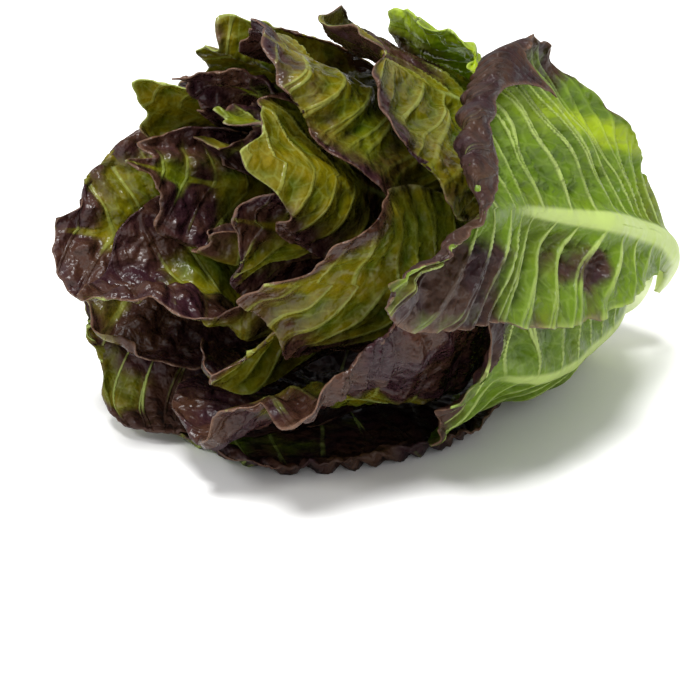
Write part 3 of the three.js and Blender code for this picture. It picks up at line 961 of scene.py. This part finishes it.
class LeafSizes(bpy.types.PropertyGroup):
    """Sizes of a leaf's relief, in millimetres."""

    blister_height: FloatProperty(
        name="Blister height", description="Height of a blister between the veins, in millimetres",
        default=5.5, min=0,
    )
    fold_height: FloatProperty(
        name="Fold height", description="Height of the soft folds of a blade, in millimetres",
        default=5.0, min=0,
    )
    blister_size: FloatProperty(
        name="Blister size", description="Width of a large blister, in millimetres",
        default=13, min=2,
    )
    vein_height: FloatProperty(
        name="Vein height", description="Height of a lateral vein on the blade, in millimetres",
        default=1.1, min=0,
    )
    frill_height: FloatProperty(
        name="Frill height", description="Height of the short waves of the margin, in millimetres",
        default=3.4, min=0,
    )


class LeafColours(bpy.types.PropertyGroup):
    """Colours of the leaves and the stem."""

    green: colour("Green", "Skin of a green leaf", (0.18, 0.30, 0.010))
    # Partly painted light: this bright yellow-green also paints the glow of light shining through a
    # leaf
    backlit_lime: colour("Lime", "Skin of a young bright leaf", (0.42, 0.56, 0.008))
    # Painted shade: the green of the pockets between the veins and the creases between the bubbles
    shade_green: colour("Deep green", "Hollows of the green", (0.035, 0.085, 0.003))
    olive: colour("Olive", "Skin of a warm leaf", (0.24, 0.18, 0.003))
    vein: colour("Vein", "Ribs, lateral veins and fine net", (0.55, 0.68, 0.2))
    purple: colour("Purple", "Dark skin", (0.036, 0.009, 0.019))
    brown: colour("Brown", "Grain of the dark skin", (0.066, 0.025, 0.018))
    # Painted highlight: the thin lit edge of the margin on purple skin
    rim: colour("Margin", "Thin coloured margin", (0.32, 0.18, 0.11))
    pale: colour("Pale", "Ribs and leaf bases", (0.72, 0.80, 0.46))
    glow: colour("Glow", "Tint of the light that shines through", (1.0, 1.0, 0.3))
    stain: colour("Stain", "Browned rings of the cut", (0.45, 0.26, 0.12))


class StudioSettings(bpy.types.PropertyGroup):
    """Camera, floor and lights."""

    camera_place: FloatVectorProperty(
        name="Camera", description="Where the camera stands", subtype="XYZ", unit="LENGTH",
        default=(-0.606, -0.7042, 0.376),
    )
    camera_target: FloatVectorProperty(
        name="Target", description="What the camera looks at", subtype="XYZ", unit="LENGTH",
        default=(0.0303, 0.1103, -0.0002),
    )
    camera_lens: FloatProperty(
        name="Lens", description="Focal length in millimetres on a 36 mm sensor",
        default=118.8, min=1,
    )
    floor: colour("Floor", "Pale floor", (0.95, 0.95, 0.94))
    sky: strength("Sky", "Light from all sides", 0.58)
    key: strength("Key", "Soft sun from above", 3.6)
    front: strength("Front", "Broad low sun from the front", 0.5)
    fill: strength("Fill", "Sun from the front left", 0.9)


def dress(leaf, sizes, material):
    """A fine blade in place of a leaf's solid."""
    piece = leaf_object(leaf, blade_grid(leaf.k), sizes)
    piece.data.materials.append(material)
    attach(piece, "root")
    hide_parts(leaf.node)


class LETTUCE_OT_outer_leaves(bpy.types.Operator):
    """Add the broad green outer leaves"""

    bl_idname = "lettuce.outer_leaves"
    bl_label = "Outer Leaves"

    def execute(self, context):
        scene = context.scene
        material = leaf_material(
            "green_leaf", scene.lettuce_colours, gloss=0.32, glow=0.36, shine=0.32, crumple=0.35
        )
        for k in OUTER_LEAVES:
            dress(leaves[k], scene.lettuce_sizes, material)
        return {"FINISHED"}


class LETTUCE_OT_inner_leaves(bpy.types.Operator):
    """Add the purple and olive inner leaves"""

    bl_idname = "lettuce.inner_leaves"
    bl_label = "Inner Leaves"

    def execute(self, context):
        scene = context.scene
        material = leaf_material(
            "purple_leaf", scene.lettuce_colours, gloss=0.2, glow=0.32, shine=0.38, crumple=0.5
        )
        for k in INNER_LEAVES:
            dress(leaves[k], scene.lettuce_sizes, material)
        return {"FINISHED"}


class LETTUCE_OT_heart_leaves(bpy.types.Operator):
    """Add the small leaves of the heart"""

    bl_idname = "lettuce.heart_leaves"
    bl_label = "Heart Leaves"

    def execute(self, context):
        scene = context.scene
        material = leaf_material(
            "heart_leaf_skin", scene.lettuce_colours, gloss=0.3, glow=0.3, shine=0.4, crumple=0.5
        )
        for k in HEART_LEAVES:
            dress(leaves[k], scene.lettuce_sizes, material)
        return {"FINISHED"}


class LETTUCE_OT_stem(bpy.types.Operator):
    """Add the stem core with its cut face and leaf scars"""

    bl_idname = "lettuce.stem"
    bl_label = "Stem Core"

    def execute(self, context):
        piece = stem_object()
        piece.data.materials.append(stem_material(context.scene.lettuce_colours))
        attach(piece, "root")
        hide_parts("stem_core")
        return {"FINISHED"}


class LETTUCE_OT_studio(bpy.types.Operator):
    """Add the camera, the pale floor and the soft lights"""

    bl_idname = "lettuce.studio"
    bl_label = "Studio"

    def execute(self, context):
        scene = context.scene
        studio = scene.lettuce_studio
        camera = bpy.data.cameras.new("camera")
        camera.lens = studio.camera_lens
        camera.clip_end = 20
        scene.camera = aimed(camera, "camera", studio.camera_place, studio.camera_target)

        edge = FLOOR_WIDTH / 2 * 1000
        corners = np.array([[-edge, -edge, 0], [edge, -edge, 0], [edge, edge, 0], [-edge, edge, 0]])
        floor = new_object("floor", corners, [(0, 1, 2, 3)], {})
        paper = bpy.data.materials.new("pale_floor")
        paper.use_nodes = True
        shader = paper.node_tree.nodes["Principled BSDF"]
        shader.inputs["Base Color"].default_value = (*studio.floor, 1)
        shader.inputs["Roughness"].default_value = 0.8
        shader.inputs["Specular IOR Level"].default_value = 0.1
        floor.data.materials.append(paper)

        for name, (place, angle) in SUNS.items():
            sun = bpy.data.lights.new(name, "SUN")
            sun.energy, sun.angle = getattr(studio, name), radians(angle)
            aimed(sun, name, place, (0, 0, 0))

        world = bpy.data.worlds.new("sky")
        world.use_nodes = True
        sky = world.node_tree.nodes["Background"]
        sky.inputs["Color"].default_value = (1, 1, 1, 1)
        sky.inputs["Strength"].default_value = studio.sky
        scene.world = world
        scene.view_settings.view_transform = "Standard"
        return {"FINISHED"}


class LETTUCE_PT_panel(bpy.types.Panel):
    """The head's settings and its steps"""

    bl_label = "Romaine Lettuce"
    bl_idname = "LETTUCE_PT_panel"
    bl_space_type = "VIEW_3D"
    bl_region_type = "UI"
    bl_category = "Lettuce"

    def draw(self, context):
        for group in ("lettuce_sizes", "lettuce_colours", "lettuce_studio"):
            settings = getattr(context.scene, group)
            box = self.layout.box()
            for key in settings.bl_rna.properties.keys():
                if key not in ("rna_type", "name"):
                    box.prop(settings, key)
        for step in OPERATORS:
            self.layout.operator(step.bl_idname)


OPERATORS = (
    LETTUCE_OT_outer_leaves,
    LETTUCE_OT_inner_leaves,
    LETTUCE_OT_heart_leaves,
    LETTUCE_OT_stem,
    LETTUCE_OT_studio,
)
CLASSES = (LeafSizes, LeafColours, StudioSettings, *OPERATORS, LETTUCE_PT_panel)


def register():
    for cls in CLASSES:
        bpy.utils.register_class(cls)
    bpy.types.Scene.lettuce_sizes = PointerProperty(type=LeafSizes)
    bpy.types.Scene.lettuce_colours = PointerProperty(type=LeafColours)
    bpy.types.Scene.lettuce_studio = PointerProperty(type=StudioSettings)


def unregister():
    for name in ("lettuce_sizes", "lettuce_colours", "lettuce_studio"):
        delattr(bpy.types.Scene, name)
    for cls in reversed(CLASSES):
        bpy.utils.unregister_class(cls)


def main():
    register()
    bpy.ops.lettuce.outer_leaves()
    bpy.ops.lettuce.inner_leaves()
    bpy.ops.lettuce.heart_leaves()
    bpy.ops.lettuce.stem()
    bpy.ops.lettuce.studio()


if __name__ == "__main__":
    main()
